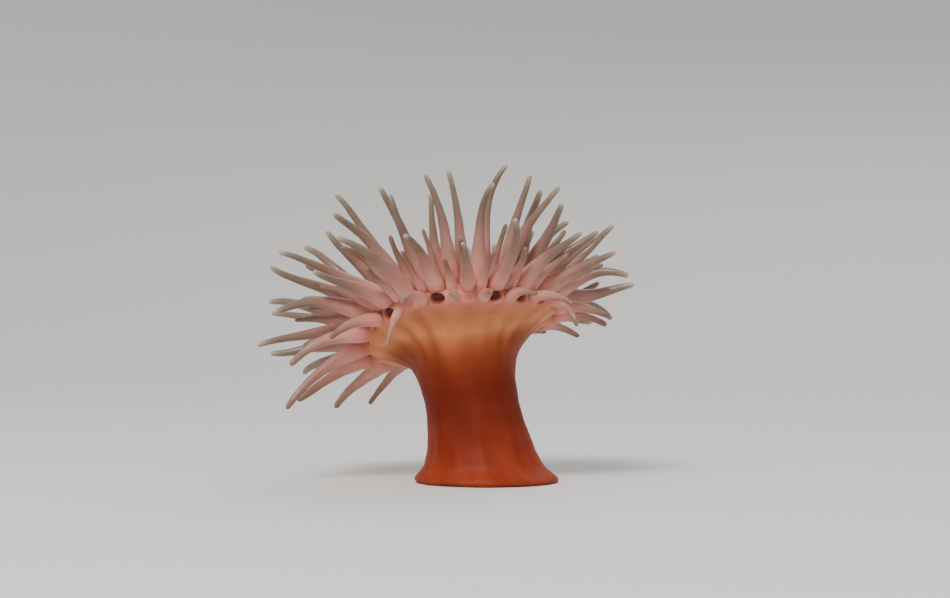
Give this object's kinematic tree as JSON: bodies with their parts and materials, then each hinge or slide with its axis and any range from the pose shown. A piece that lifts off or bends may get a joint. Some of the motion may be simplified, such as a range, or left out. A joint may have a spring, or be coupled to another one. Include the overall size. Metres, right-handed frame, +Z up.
{
  "type": "sea anemone",
  "caption": "Life-size sea anemone standing on its pedal disc, with a smooth flaring column, a disc that leans back and four rows of tapering tentacles, with young ones between them.",
  "frame": {"origin": "centre of the flat sole of the pedal disc, on the surface that it stands on", "axes": "+Z up, away from the sole; +X to the right and +Y to the back of the pose: the disc leans towards +Y and a little towards -X"},
  "size_m": [0.0759, 0.0733, 0.0631],
  "materials": {
    "column": "moist smooth rust-red skin, satin gloss, soft subsurface glow",
    "collar": "moist orange-tan skin, lightly translucent",
    "oral_disc": "moist pink-brown skin with faint radial lines",
    "tentacles": "moist translucent rose-pink skin that pales to greyish white at the tips"
  },
  "bodies": {
    "root": {"pedal_disc": "column", "column_lower": "column", "column_upper": "column", "collar": "collar", "oral_disc": "oral_disc", "mouth": "oral_disc", "tentacles_outer_01": "tentacles", "tentacles_outer_02": "tentacles", "tentacles_outer_03": "tentacles", "tentacles_outer_04": "tentacles", "tentacles_outer_05": "tentacles", "tentacles_outer_06": "tentacles", "tentacles_outer_07": "tentacles", "tentacles_outer_08": "tentacles", "tentacles_outer_09": "tentacles", "tentacles_outer_10": "tentacles", "tentacles_inner_01": "tentacles", "tentacles_inner_02": "tentacles", "tentacles_inner_03": "tentacles", "tentacles_inner_04": "tentacles", "tentacles_inner_05": "tentacles", "tentacles_inner_06": "tentacles", "tentacles_inner_07": "tentacles", "tentacles_inner_08": "tentacles", "tentacles_inner_09": "tentacles", "tentacles_inner_10": "tentacles"}
  },
  "joints": []
}
